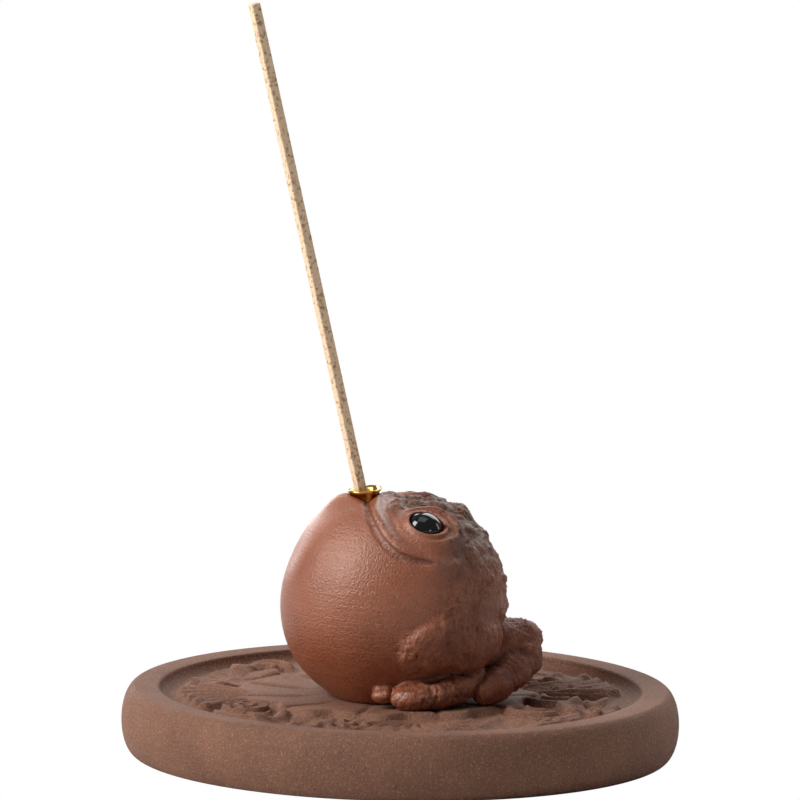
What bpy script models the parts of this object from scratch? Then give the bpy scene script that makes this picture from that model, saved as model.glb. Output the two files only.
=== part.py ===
# A toad incense burner. A thick stoneware dish with a floor carved in relief carries a round
# clay toad whose mouth points at the sky. Two glass eyes are set in the toad's head, and
# a small brass cup in its mouth holds a square incense stick that leans over the dish.
#
# Units are metres and +Z is up. The origin is under the middle of the dish, on the table.
# The toad looks along -X, turned a little towards -Y, and its left side is at -Y.

import math

import bmesh
import bpy
import numpy as np
from mathutils import Euler, Matrix, Vector

MM = 0.001

# Room left between pieces that touch
SEAT_GAP = 0.3 * MM

# Dish
DISH_RADIUS = 55.0 * MM
DISH_HEIGHT = 13.3 * MM
WALL_BULGE = 2.84 * MM
RIM_WIDTH = 4.6 * MM
RIM_FALL = 0.2 * MM
COVE_WIDTH = 2.4 * MM
WELL_DEPTH = 2.4 * MM
FOOT_WIDTH = 7.0 * MM
FOOT_RECESS = 3.0 * MM
DISH_STEPS = 60

# Broad leaf in the middle of the carved floor, that the toad sits on
GROUND_LENGTH = 29.0 * MM
GROUND_WIDTH = 25.0 * MM
GROUND_RISE = 0.9 * MM
GROUND_SHIFT = -3.0 * MM

# Heights of the relief carved round that leaf
WAVE_RISE = 1.7 * MM
SHEAF_RISE = 1.8 * MM
LEAF_RISE = 1.6 * MM
BUD_RISE = 1.4 * MM
POD_RISE = 1.9 * MM
RELIEF_TOP = 2.0 * MM
RELIEF_MARGIN = 0.4 * MM
RELIEF_FADE = 1.6 * MM
CARVE_STEPS = 4
CARVE_ROWS = 44
CARVE_KEEP = 0.2

# Toad
TOAD_RADIUS = 22.2 * MM
TOAD_CENTRE_HEIGHT = 0.8784 * TOAD_RADIUS
TOAD_PLACE = -1.5 * MM
TOAD_TURN = 6.0
SKIN_CELL = 0.62 * MM
SKIN_KEEP = 0.085

# Mouth line
LIP_RISE = 1.2 * MM
LIP_WIDTH = 1.4 * MM
MOUTH_DEPTH = 1.5 * MM
MOUTH_WIDTH = 0.9 * MM
NOTCH_DEPTH = 1.9 * MM

# Glass eyes
EYE_LENGTH = 7.4 * MM
EYE_HEIGHT = 5.2 * MM
EYE_DEPTH = 5.6 * MM
EYE_SUNK = 1.0 * MM
EYE_AZIMUTH = 110.5
EYE_ELEVATION = 49.5
EYE_ROLL = 10.0
LID_RISE = 1.0 * MM
LID_WIDTH = 1.5 * MM

# Incense stick
STICK_SIDE = 2.0 * MM
STICK_LENGTH = 108.5 * MM
STICK_LEAN = 13.1
STICK_ROLL = 23.5
STICK_EDGE = 0.12 * MM

# Brass cup
CUP_LEAN = 6.0
CUP_DEPTH = 9.0 * MM
CUP_WALL = 0.6 * MM
CUP_FLARE = 0.75 * MM
CUP_LIP = 0.5 * MM
CUP_PROUD = 0.5 * MM
CUP_STEPS = 28
STICK_PLAY = 0.35 * MM
MOUTH_AHEAD = 0.2793 * TOAD_RADIUS
MOUTH_HEIGHT = 1.8288 * TOAD_RADIUS

# Cut left open over the cup, height of the cup's flare and rounding of its lip
CUT_REACH = 6.0 * MM
CUP_THROAT = 1.6 * MM
LIP_ROUND = 0.15 * MM

# One unit of the relief's layout and one of the toad's limbs, which follow these two sizes
RELIEF_UNIT = DISH_RADIUS / 55.0
LIMB_UNIT = TOAD_RADIUS / 22.2

# Places that follow from the sizes above
WALL_MIDDLE = DISH_RADIUS - WALL_BULGE
RIM_INNER = WALL_MIDDLE - RIM_WIDTH
WELL_RADIUS = RIM_INNER - COVE_WIDTH
FLOOR_Z = DISH_HEIGHT - WELL_DEPTH
SEAT_Z = FLOOR_Z + GROUND_RISE
TOAD_Z = SEAT_Z + SEAT_GAP


def clear_scene():
    for item in list(bpy.data.objects):
        bpy.data.objects.remove(item, do_unlink=True)


def make_collection(name):
    group = bpy.data.collections.new(name)
    bpy.context.scene.collection.children.link(group)
    return group


def make_material(name, colour, roughness, metallic=0.0):
    material = bpy.data.materials.new(name)
    material.use_nodes = True
    shader = material.node_tree.nodes["Principled BSDF"]
    shader.inputs["Base Color"].default_value = (*colour, 1.0)
    shader.inputs["Roughness"].default_value = roughness
    shader.inputs["Metallic"].default_value = metallic
    material.diffuse_color = (*colour, 1.0)
    return material


def add_object(name, mesh, group, material=None):
    piece = bpy.data.objects.new(name, mesh)
    group.objects.link(piece)
    if material:
        mesh.materials.append(material)
    return piece


def hide_guide(piece):
    piece.hide_render = True
    piece.display_type = "WIRE"


def add_boolean(piece, operation, tool):
    cut = piece.modifiers.new(operation.title(), "BOOLEAN")
    cut.operation = operation
    cut.solver = "EXACT"
    cut.object = tool
    return cut


def smooth_shade(piece, angle=40.0):
    piece.data.shade_smooth()
    piece.data.set_sharp_from_angle(angle=math.radians(angle))


def ellipsoid_mesh(name, half, segments=16, rings=10):
    shell = bmesh.new()
    bmesh.ops.create_uvsphere(shell, u_segments=segments, v_segments=rings, radius=1.0)
    bmesh.ops.scale(shell, vec=half, verts=shell.verts)
    mesh = bpy.data.meshes.new(name)
    shell.to_mesh(mesh)
    shell.free()
    return mesh


def direction(azimuth, elevation):
    """Unit vector in the toad's own frame: azimuth 0 is ahead, 90 is its left side."""
    turn = math.radians(azimuth)
    lift = math.radians(elevation)
    return np.array((-math.cos(lift) * math.cos(turn), -math.cos(lift) * math.sin(turn), math.sin(lift)))


def screw_profile(name, points, steps, group, material):
    """Turns (radius, height) points, listed down the outer side, round the Z axis."""
    mesh = bpy.data.meshes.new(name)
    verts = [(radius, 0.0, height) for radius, height in points]
    mesh.from_pydata(verts, [(i, i + 1) for i in range(len(verts) - 1)], [])
    piece = add_object(name, mesh, group, material)
    turn = piece.modifiers.new("Turn", "SCREW")
    turn.steps = steps
    turn.render_steps = steps
    turn.use_merge_vertices = True
    turn.merge_threshold = 0.00001
    turn.use_smooth_shade = True
    return piece


def arc_points(centre, half_width, half_height, start, end, count):
    points = []
    for i in range(count + 1):
        angle = math.radians(start + (end - start) * i / count)
        points.append((centre[0] + half_width * math.cos(angle), centre[1] + half_height * math.sin(angle)))
    return points


# Layout of the relief, in units of the dish: across, back, then sizes and turns in degrees
WAVES = (
    (31.0, -1.0, 9.5, 140.0, 340.0), (27.0, -15.0, 8.0, 120.0, 330.0), (36.0, 9.5, 8.5, 120.0, 330.0),
    (25.0, 16.0, 8.5, 130.0, 340.0), (15.0, 27.5, 8.0, 160.0, 370.0), (-27.0, 27.0, 8.5, 10.0, 220.0),
    (-13.0, -33.0, 7.5, 190.0, 390.0), (12.0, -30.5, 7.0, 190.0, 390.0), (-27.5, -24.5, 7.5, 180.0, 390.0),
    (-38.5, -13.0, 7.0, 100.0, 300.0),
)
SHEAVES = (
    (-25.0, -5.0, 184.0, 21.0, 46.0, 7), (-6.0, 28.0, 112.0, 15.5, 44.0, 6),
    (20.0, 4.5, 24.0, 25.0, 30.0, 6), (3.0, -28.0, 262.0, 15.0, 52.0, 7),
)
LEAVES = (
    (-33.0, 17.0, 10.0, 20.0, 8), (9.0, 36.5, 8.0, 250.0, 7), (31.0, 27.5, 10.0, 160.0, 8),
    (-21.0, -32.0, 8.0, 200.0, 7), (20.5, -34.0, 7.5, 300.0, 7), (38.0, -11.0, 7.0, 110.0, 7),
)
BUDS = (
    (11.0, -38.5, 4.4, 15.0), (33.0, -22.5, 4.4, 60.0), (-34.5, -25.0, 4.2, 120.0), (-4.0, -40.0, 4.2, 170.0),
    (41.0, 15.0, 4.2, 80.0), (-42.0, 6.0, 4.0, 80.0), (-15.0, 40.0, 4.4, 20.0), (22.5, 37.5, 4.0, 140.0),
)
PODS = ((-30.5, -17.0, 4.8), (-10.5, -36.5, 4.6), (29.5, -29.0, 4.4), (-1.5, 36.0, 4.4))


def ease(low, high, value):
    """0 below low, 1 above high, and an S curve between them."""
    share = np.clip((value - low) / (high - low), 0.0, 1.0)
    return share * share * (3.0 - 2.0 * share)


def lay_over(height, mask, top):
    """Lays a carved shape over what is there, which still shows through a little."""
    return height * (1.0 - mask) + (top + 0.25 * height) * mask


def add_waves(height, x, y):
    """Nested ripples that rise slowly outwards and drop steeply."""
    for across, back, size, start, end in WAVES:
        reach = np.hypot(x - across, y - back)
        turn = np.mod(np.degrees(np.arctan2(y - back, x - across)) - start, 360.0)
        ends = ease(0.0, 25.0, turn) * (1.0 - ease(end - start - 25.0, end - start, turn))
        saw = np.mod(reach / (size / 2.3), 1.0)
        crest = ease(-0.1, 0.66, saw) * (1.0 - ease(0.7, 1.0, saw))
        mask = (1.0 - ease(0.9, 1.03, reach / size)) * ends
        height = lay_over(height, mask, WAVE_RISE * crest)
    return height


def add_sheaves(height, x, y):
    """Fans of rounded, slightly curling ribs that share a root."""
    for across, back, turn, length, spread, ribs in SHEAVES:
        reach = np.hypot(x - across, y - back)
        angle = np.degrees(np.arctan2(y - back, x - across)) - turn
        angle = np.mod(angle + 180.0, 360.0) - 180.0
        angle += 14.0 * np.sin(reach / length * 3.0) - 7.0
        rib = np.cos(np.radians(angle / spread * 90.0 * ribs)) ** 2
        share = reach / (length * (1.0 - 0.16 * (angle / spread) ** 2 + 0.07 * (rib - 0.5)))
        crown = ease(0.0, 0.35, share) * (0.75 + 0.25 * share)
        mask = (1.0 - ease(0.95, 1.03, share)) * (1.0 - ease(0.92, 1.02, np.abs(angle) / spread))
        mask *= ease(0.05, 0.16, share)
        height = lay_over(height, mask, SHEAF_RISE * crown * (0.5 + 0.5 * np.sqrt(rib)))
    return height


def add_leaves(height, x, y):
    """Round leaves with a ruffled, lifted edge."""
    for across, back, size, turn, lobes in LEAVES:
        reach = np.hypot(x - across, y - back)
        angle = np.arctan2(y - back, x - across) - math.radians(turn)
        ruffle = np.sin(lobes * angle)
        share = reach / (size * (1.0 + 0.06 * ruffle))
        top = 0.32 + 0.68 * ease(0.35, 0.93, share) + 0.3 * ruffle * ease(0.45, 0.95, share)
        height = lay_over(height, 1.0 - ease(0.95, 1.05, share), LEAF_RISE * top)
    return height


def add_buds(height, x, y):
    """Pointed buds."""
    for across, back, size, turn in BUDS:
        turn = math.radians(turn)
        along = ((x - across) * math.cos(turn) + (y - back) * math.sin(turn)) / size
        side = (-(x - across) * math.sin(turn) + (y - back) * math.cos(turn)) / size
        width = 0.52 * np.sqrt(np.clip(1.0 - along, 0.0, 1.0)) * np.clip(1.0 + along, 0.0, 1.0) ** 0.35 + 0.01
        share = np.abs(side) / width
        mask = (1.0 - ease(0.85, 1.05, share)) * (1.0 - ease(0.97, 1.0, np.abs(along)))
        height = lay_over(height, mask, BUD_RISE * np.sqrt(np.clip(1.0 - share ** 2, 0.0, 1.0)))
    return height


def add_ground(height, x, y):
    """The broad leaf in the middle, flat and with a wavy edge."""
    wide, deep, shift = GROUND_LENGTH / MM, GROUND_WIDTH / MM, GROUND_SHIFT / MM
    angle = np.arctan2(y / deep, (x - shift) / wide)
    wave = 0.022 * np.sin(11.0 * angle + 0.7) + 0.014 * np.sin(23.0 * angle)
    share = np.hypot((x - shift) / wide, y / deep) / (1.0 + wave)
    mask = 1.0 - ease(0.94, 1.03, share)
    return height * (1.0 - mask) + GROUND_RISE * mask


def add_pods(height, x, y):
    """Seed pods: low domes with a dip in the middle."""
    for across, back, size in PODS:
        reach = np.hypot(x - across, y - back) / size
        top = 0.86 + 0.14 * np.sqrt(np.clip(1.0 - reach ** 2, 0.0, 1.0))
        top -= 0.35 * (1.0 - ease(0.2, 0.45, reach))
        height = lay_over(height, 1.0 - ease(0.92, 1.06, reach), POD_RISE * top)
    return height


def relief_height(x, y):
    """Height of the carving over the floor, for places in metres from the middle."""
    reach = np.hypot(x, y)
    height = np.zeros_like(x)
    for carve in (add_waves, add_sheaves, add_leaves, add_buds):
        height = carve(height, x / RELIEF_UNIT, y / RELIEF_UNIT)
    height = add_ground(height, x / MM, y / MM)
    height = add_pods(height, x / RELIEF_UNIT, y / RELIEF_UNIT)
    edge = WELL_RADIUS - RELIEF_MARGIN
    return np.minimum(height, RELIEF_TOP) * (1.0 - ease(edge - RELIEF_FADE, edge, reach))


def rim_profile():
    """Half section from the well's edge up the cove, over the rim, down the wall and under."""
    foot_inner = WALL_MIDDLE - FOOT_WIDTH
    points = arc_points((WELL_RADIUS, DISH_HEIGHT - RIM_FALL), COVE_WIDTH, WELL_DEPTH - RIM_FALL, -90, 0, 3)
    points += [(RIM_INNER + 0.3 * COVE_WIDTH, DISH_HEIGHT - 0.4 * RIM_FALL)]
    points += arc_points((WALL_MIDDLE, DISH_HEIGHT / 2), WALL_BULGE, DISH_HEIGHT / 2, 90, -90, 8)
    return points + [(foot_inner, 0.0), (foot_inner - 0.5 * FOOT_RECESS, FOOT_RECESS)]


def ring_points(radius, height, steps):
    turn = np.arange(steps) * 2.0 * math.pi / steps
    return np.stack([radius * np.cos(turn), radius * np.sin(turn), np.full(steps, height)], axis=1)


def build_dish(group):
    """One skin: a finely stepped carved floor joined to a turned rim, wall and foot."""
    clay = make_material("dish_clay", (0.105, 0.052, 0.032), 0.82)
    fine = DISH_STEPS * CARVE_STEPS
    rows = [ring_points(WELL_RADIUS * (i + 1) / (CARVE_ROWS + 1), FLOOR_Z, fine) for i in range(CARVE_ROWS)]
    carved = np.concatenate(rows)
    carved[:, 2] += relief_height(carved[:, 0], carved[:, 1])
    turned = [ring_points(radius, height, DISH_STEPS) for radius, height in rim_profile()]
    verts = np.concatenate([carved, *turned])
    faces = [tuple(range(fine))]
    for row in range(CARVE_ROWS - 1):
        for i in range(fine):
            after = (i + 1) % fine
            faces.append((row * fine + i, (row + 1) * fine + i, (row + 1) * fine + after, row * fine + after))
    last, first = (CARVE_ROWS - 1) * fine, CARVE_ROWS * fine
    half = CARVE_STEPS // 2
    for i in range(DISH_STEPS):
        after = first + (i + 1) % DISH_STEPS
        for k in range(CARVE_STEPS):
            near = last + i * CARVE_STEPS + k
            beyond = last + (i * CARVE_STEPS + k + 1) % fine
            faces.append((near, first + i if k < half else after, beyond))
        faces.append((last + i * CARVE_STEPS + half, first + i, after))
    for row in range(len(turned) - 1):
        start = first + row * DISH_STEPS
        for i in range(DISH_STEPS):
            after = (i + 1) % DISH_STEPS
            faces.append((start + i, start + DISH_STEPS + i, start + DISH_STEPS + after, start + after))
    bottom = first + (len(turned) - 1) * DISH_STEPS
    faces.append(tuple(bottom + i for i in reversed(range(DISH_STEPS))))
    mesh = bpy.data.meshes.new("dish")
    mesh.from_pydata(verts.tolist(), [], faces)
    dish = add_object("dish", mesh, group, clay)
    floor = dish.vertex_groups.new(name="floor")
    floor.add(list(range(first)), 1.0, "REPLACE")
    thin = dish.modifiers.new("Thin", "DECIMATE")
    thin.ratio = CARVE_KEEP
    thin.vertex_group = floor.name
    thin.use_collapse_triangulate = True
    smooth_shade(dish)
    return dish


# Swells of the toad's body: azimuth, elevation, height and spread in degrees.
# A swell off the middle line is there on both sides.
BODY_SWELLS = {
    "throat": (0.0, -33.0, 1.0 * MM, 30.0),
    "chin_hollow": (0.0, 38.0, -0.8 * MM, 15.0),
    "lower_lip": (0.0, 62.0, 1.9 * MM, 9.0),
    "crown": (180.0, 84.0, -1.5 * MM, 15.0),
    "side": (90.0, 0.0, -0.7 * MM, 26.0),
    "flank": (134.0, -20.0, 1.7 * MM, 19.0),
    "cheek": (112.0, 30.0, 0.7 * MM, 14.0),
    "rump": (180.0, -12.0, 0.4 * MM, 22.0),
}

# Where the mouth line runs from the cup to the corner, as azimuth and elevation
MOUTH_LINE = (
    (0.0, 75.0), (34.0, 69.5), (60.0, 58.0), (72.0, 47.5), (82.0, 38.5), (91.0, 33.8), (106.0, 28.0),
)


def swell_heights(rays, azimuth, elevation, height, spread):
    cosine = np.clip(rays @ direction(azimuth, elevation), -1.0, 1.0)
    return height * np.exp(-((np.degrees(np.arccos(cosine)) / spread) ** 2))


def distance_to_line(rays, line, radius):
    """Distance along the skin to the mouth line, below zero on the throat's side."""
    knots = np.array([direction(*spot) for spot in line]) * radius
    points = rays * radius
    nearest = np.full(len(rays), 1.0)
    side = np.ones(len(rays))
    for start, end in zip(knots[:-1], knots[1:]):
        run = end - start
        share = np.clip((points - start) @ run / (run @ run), 0.0, 1.0)
        offset = points - (start + share[:, None] * run)
        length = np.linalg.norm(offset, axis=1)
        across = np.cross(run, start)
        closer = length < nearest
        nearest = np.where(closer, length, nearest)
        side = np.where(closer, np.sign(offset @ across), side)
    return nearest, side


def eye_axes():
    """Unit vectors along the left eye, up over it and out of it."""
    out = direction(EYE_AZIMUTH, EYE_ELEVATION)
    along = np.array((1.0, 0.0, 0.0))
    along = along - out * (along @ out)
    along /= np.linalg.norm(along)
    up = np.cross(along, out) * -1.0
    roll = math.radians(EYE_ROLL)
    return along * math.cos(roll) - up * math.sin(roll), up * math.cos(roll) + along * math.sin(roll), out


def eyelid_height(rays):
    """A ring of clay round the eye, thicker over it than under it."""
    along, up, out = eye_axes()
    ahead = rays @ out
    wide = (rays @ along) * TOAD_RADIUS / (EYE_LENGTH / 2 + LID_WIDTH)
    tall = (rays @ up) * TOAD_RADIUS / (EYE_HEIGHT / 2 + LID_WIDTH)
    ring = np.sqrt(wide * wide + tall * tall)
    thick = LID_RISE * (1.0 + 0.35 * np.clip(tall, -1.0, 1.0))
    return np.where(ahead > 0.5, thick * np.exp(-(((ring - 1.0) / 0.32) ** 2)), 0.0)


def body_radius(rays):
    """Distance from the body's centre to its skin along each ray."""
    mirrored = rays.copy()
    mirrored[:, 1] = -np.abs(mirrored[:, 1])
    radius = np.full(len(rays), TOAD_RADIUS)
    for azimuth, elevation, height, spread in BODY_SWELLS.values():
        radius += swell_heights(mirrored, azimuth, elevation, height, spread)
    distance, side = distance_to_line(mirrored, MOUTH_LINE, TOAD_RADIUS)
    radius -= MOUTH_DEPTH * np.exp(-((distance / MOUTH_WIDTH) ** 2))
    above = np.where(side > 0, distance, 10.0)
    radius += LIP_RISE * np.exp(-(((above - LIP_WIDTH) / LIP_WIDTH) ** 2))
    # The underside is drawn in so that the body stands on a small flat
    radius += eyelid_height(mirrored)
    low = np.clip(-rays[:, 2], 0.0, 1.0)
    floor_radius = TOAD_CENTRE_HEIGHT / np.maximum(low, 0.2)
    blend = np.clip((low - 0.55) / 0.35, 0.0, 1.0)
    return np.minimum(radius, radius + (floor_radius * 1.02 - radius) * blend)


def add_lump(shell, spot, half, turn=(0.0, 0.0, 0.0), both=True):
    """Joins an ellipsoid to the toad, and its mirror image on the other side."""
    sides = (1.0, -1.0) if both else (1.0,)
    for side in sides:
        rotation = Euler([math.radians(turn[0]) * side, math.radians(turn[1]), math.radians(turn[2]) * side])
        place = Vector((spot[0], spot[1] * side, spot[2])) * LIMB_UNIT
        matrix = Matrix.Translation(place) @ rotation.to_matrix().to_4x4()
        made = bmesh.ops.create_icosphere(shell, subdivisions=3, radius=1.0)["verts"]
        bmesh.ops.scale(shell, vec=Vector(half) * LIMB_UNIT, verts=made)
        bmesh.ops.transform(shell, matrix=matrix, verts=made)


def add_limb(shell, spots, both=True):
    """Joins a run of balls along a line of spots, close enough to make one limb."""
    for start, end in zip(spots[:-1], spots[1:]):
        start, end = np.array(start), np.array(end)
        length = np.linalg.norm(end[:3] - start[:3])
        count = max(2, round(length / (0.45 * min(start[3], end[3]))))
        for i in range(count + 1):
            *spot, size = start + (end - start) * i / count
            add_lump(shell, spot, (size, size, size), both=both)


# Limbs of the toad's left side, in limb units in its own frame: each spot is followed by
# the limb's radius there. The same limbs are mirrored to its right side.
FOOT = ((1.0, -18.8, 2.7, 2.6), (5.7, -18.6, 2.9, 2.8), (10.7, -16.2, 3.6, 2.8), (15.3, -13.0, 4.4, 2.9))
TOES = ((-3.7, -15.7, 3.0, 2.0), (0.2, -20.0, 2.6, 2.5), (3.4, -20.5, 2.6, 2.4))
KNEE = ((4.8, -18.6, 13.4), (5.0, 4.0, 6.8), 38.0)
THIGH = ((19.0, -5.0, 9.0), (6.0, 7.0, 6.6))

# The third leg leaves the middle of the back and curls round to the left
HIND_LEG = ((20.0, -1.5, 11.0, 4.8), (23.6, -4.0, 11.6, 4.4), (25.2, -4.8, 11.8, 3.6), (25.1, -6.4, 8.0, 3.5),
            (21.0, -9.6, 5.0, 3.2), (16.8, -13.2, 3.0, 2.8), (15.2, -14.8, 2.9, 2.1))

# Large warts of the left side: azimuth, elevation and radius in limb units
WARTS = (
    (96.0, 79.0, 2.4), (143.0, 74.0, 2.5), (163.0, 63.0, 2.6), (169.0, 51.0, 2.6),
    (150.0, 42.0, 2.2), (138.0, 30.0, 2.0), (160.0, 28.0, 2.1), (172.0, 36.0, 1.9),
    (146.0, 14.0, 1.9), (166.0, 12.0, 2.1), (152.0, -4.0, 1.8), (174.0, -4.0, 1.8),
    (118.0, 74.0, 1.7), (88.0, 66.0, 1.5),
)


def build_skin(group, clay):
    """The toad's clay: a body shaped by its swells, with limbs and warts, as one skin."""
    shell = bmesh.new()
    body = bmesh.ops.create_icosphere(shell, subdivisions=6, radius=1.0)["verts"]
    rays = np.array([vert.co for vert in body])
    rays /= np.linalg.norm(rays, axis=1)[:, None]
    skin = rays * body_radius(rays)[:, None] + (0.0, 0.0, TOAD_CENTRE_HEIGHT)
    for vert, place in zip(body, skin):
        vert.co = place
    add_lump(shell, KNEE[0], KNEE[1], turn=(0.0, KNEE[2], 0.0))
    add_limb(shell, FOOT)
    add_limb(shell, HIND_LEG, both=False)
    add_lump(shell, *THIGH, both=False)
    for toe in TOES:
        add_lump(shell, toe[:3], (toe[3] * 1.25, toe[3], toe[3]), turn=(0.0, 0.0, 20.0))
    for azimuth, elevation, size in WARTS:
        ray = direction(azimuth, elevation)
        reach = float(body_radius(ray[None, :])[0]) - 0.62 * size * LIMB_UNIT
        spot = (ray * reach + (0.0, 0.0, TOAD_CENTRE_HEIGHT)) / LIMB_UNIT
        add_lump(shell, spot, (size, size, size))
    mesh = bpy.data.meshes.new("toad")
    shell.to_mesh(mesh)
    shell.free()
    toad = add_object("toad", mesh, group, clay)
    remesh = toad.modifiers.new("Skin", "REMESH")
    remesh.mode = "VOXEL"
    remesh.voxel_size = SKIN_CELL
    remesh.use_smooth_shade = True
    soften = toad.modifiers.new("Soften", "SMOOTH")
    soften.factor = 0.5
    soften.iterations = 3
    thin = toad.modifiers.new("Thin", "DECIMATE")
    thin.ratio = SKIN_KEEP
    thin.use_collapse_triangulate = True
    return toad


def eye_matrix(side):
    """Place of an eye: X along the head, Y over the eye and Z out of it."""
    axes = eye_axes()
    radius = float(body_radius(axes[2][None, :])[0])
    matrix = Matrix([Vector(axis) for axis in axes]).transposed().to_4x4()
    matrix.translation = Vector(axes[2]) * (radius - EYE_SUNK) + Vector((0.0, 0.0, TOAD_CENTRE_HEIGHT))
    if side < 0:
        mirror = Matrix.Diagonal((1.0, -1.0, 1.0, 1.0))
        matrix = mirror @ matrix @ mirror
    return matrix


def stick_reach():
    """How far the stick's foot leans across the cup, and the bore that clears it."""
    lean = math.radians(STICK_LEAN - CUP_LEAN)
    diagonal = STICK_SIDE * math.sqrt(2.0)
    return diagonal / math.cos(lean) + CUP_DEPTH * math.tan(lean) / 2 + 2 * STICK_PLAY


CUP_BORE = stick_reach() / 2
CUP_OUTER = CUP_BORE + CUP_WALL


def mouth_matrix():
    """Frame of the cup: its origin is on the lip's plane and +Z points out of the mouth."""
    lean = Matrix.Rotation(-math.radians(CUP_LEAN), 4, "Y")
    return Matrix.Translation((-MOUTH_AHEAD, 0.0, MOUTH_HEIGHT)) @ lean


def mouth_bore_profile():
    """Half section of the hole that takes the cup, a seat gap wider and open upwards."""
    wall = CUP_OUTER + SEAT_GAP
    lip = CUP_OUTER + CUP_FLARE + SEAT_GAP
    under = CUP_PROUD - CUP_LIP - SEAT_GAP
    deep = -CUP_DEPTH - CUP_WALL - SEAT_GAP
    top = [(0.0, CUT_REACH), (lip, CUT_REACH), (lip, under)]
    return top + [(wall, under - CUP_FLARE), (wall, deep), (0.0, deep)]


def build_toad(group, guides):
    clay = make_material("toad_clay", (0.16, 0.062, 0.037), 0.6)
    toad = build_skin(group, clay)
    base = add_object("base_cut", bpy.data.meshes.new("base_cut"), guides)
    block = bmesh.new()
    bmesh.ops.create_cube(block, size=4.0 * TOAD_RADIUS)
    bmesh.ops.translate(block, vec=(0.0, 0.0, -2.0 * TOAD_RADIUS), verts=block.verts)
    block.to_mesh(base.data)
    block.free()
    socket_half = (EYE_LENGTH / 2 + SEAT_GAP, EYE_HEIGHT / 2 + SEAT_GAP, EYE_DEPTH / 2 + SEAT_GAP)
    sockets = []
    for name, side in (("left_socket", 1), ("right_socket", -1)):
        socket = add_object(name, ellipsoid_mesh(name, socket_half, 20, 12), guides)
        socket.matrix_world = eye_matrix(side)
        sockets.append(socket)
    bore = screw_profile("mouth_bore", mouth_bore_profile(), CUP_STEPS, guides, None)
    bore.matrix_world = mouth_matrix()
    notch = add_object("mouth_notch", bpy.data.meshes.new("mouth_notch"), guides)
    wedge = bmesh.new()
    bmesh.ops.create_cube(wedge, size=1.0, matrix=Matrix.Rotation(math.radians(45.0), 4, "Y"))
    tall = 2.0 * NOTCH_DEPTH * math.sqrt(2.0)
    wide = 2.0 * (CUP_OUTER + CUP_FLARE) * math.sqrt(2.0)
    bmesh.ops.scale(wedge, vec=(wide, 4.0 * TOAD_RADIUS, tall), verts=wedge.verts)
    bmesh.ops.translate(wedge, vec=(0.0, 0.0, NOTCH_DEPTH), verts=wedge.verts)
    wedge.to_mesh(notch.data)
    wedge.free()
    notch.matrix_world = mouth_matrix()
    for cutter in (base, *sockets, notch, bore):
        hide_guide(cutter)
        add_boolean(toad, "DIFFERENCE", cutter)
    return toad


def build_eyes(group):
    glass = make_material("eye_glass", (0.006, 0.009, 0.008), 0.05)
    eyes = []
    for name, side in (("eye_left", 1), ("eye_right", -1)):
        half = (EYE_LENGTH / 2, EYE_HEIGHT / 2, EYE_DEPTH / 2)
        eye = add_object(name, ellipsoid_mesh(name, half, 20, 12), group, glass)
        eye.matrix_world = eye_matrix(side)
        smooth_shade(eye)
        eyes.append(eye)
    return eyes


def build_cup(group):
    brass = make_material("cup_brass", (0.72, 0.47, 0.14), 0.18, 1.0)
    lip_outer = CUP_OUTER + CUP_FLARE
    top = CUP_PROUD
    points = [
        (0.0, -CUP_DEPTH),
        (CUP_BORE, -CUP_DEPTH),
        (CUP_BORE, top - CUP_THROAT),
        (CUP_BORE + 0.5 * CUP_FLARE, top - 2.0 * LIP_ROUND),
        (CUP_BORE + CUP_FLARE, top),
        (lip_outer - LIP_ROUND, top),
        (lip_outer, top - 0.5 * CUP_LIP),
        (lip_outer - LIP_ROUND, top - CUP_LIP),
        (CUP_OUTER, top - CUP_LIP - CUP_FLARE),
        (CUP_OUTER, -CUP_DEPTH - CUP_WALL),
        (0.0, -CUP_DEPTH - CUP_WALL),
    ]
    cup = screw_profile("mouth_cup", points, CUP_STEPS, group, brass)
    cup.matrix_world = mouth_matrix()
    return cup


def build_stick(group):
    """A square stick whose lowest corner stands clear of the cup's floor."""
    wood = make_material("incense", (0.19, 0.105, 0.05), 0.9)
    shell = bmesh.new()
    bmesh.ops.create_cube(shell, size=1.0)
    bmesh.ops.scale(shell, vec=(STICK_SIDE, STICK_SIDE, STICK_LENGTH), verts=shell.verts)
    bmesh.ops.translate(shell, vec=(0.0, 0.0, STICK_LENGTH / 2), verts=shell.verts)
    mesh = bpy.data.meshes.new("incense_stick")
    shell.to_mesh(mesh)
    shell.free()
    stick = add_object("incense_stick", mesh, group, wood)
    edge = stick.modifiers.new("Edge", "BEVEL")
    edge.width = STICK_EDGE
    edge.segments = 1
    lean = math.radians(STICK_LEAN - CUP_LEAN)
    foot_rise = STICK_SIDE * math.sqrt(0.5) * math.sin(lean) + SEAT_GAP
    foot_shift = 0.5 * CUP_DEPTH * math.tan(lean)
    turn = Matrix.Rotation(-lean, 4, "Y") @ Matrix.Rotation(math.radians(STICK_ROLL), 4, "Z")
    foot = Matrix.Translation((foot_shift / 2, 0.0, foot_rise - CUP_DEPTH))
    stick.matrix_world = mouth_matrix() @ foot @ turn
    return stick


def seat_on_dish(pieces, group):
    """Carries the toad and all that it holds to its place on the dish."""
    carrier = bpy.data.objects.new("toad_place", None)
    group.objects.link(carrier)
    carrier.location = (TOAD_PLACE, 0.0, TOAD_Z)
    carrier.rotation_euler = (0.0, 0.0, math.radians(TOAD_TURN))
    for piece in pieces:
        own = piece.matrix_world.copy()
        piece.parent = carrier
        piece.matrix_parent_inverse = Matrix.Identity(4)
        piece.matrix_basis = own


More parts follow.
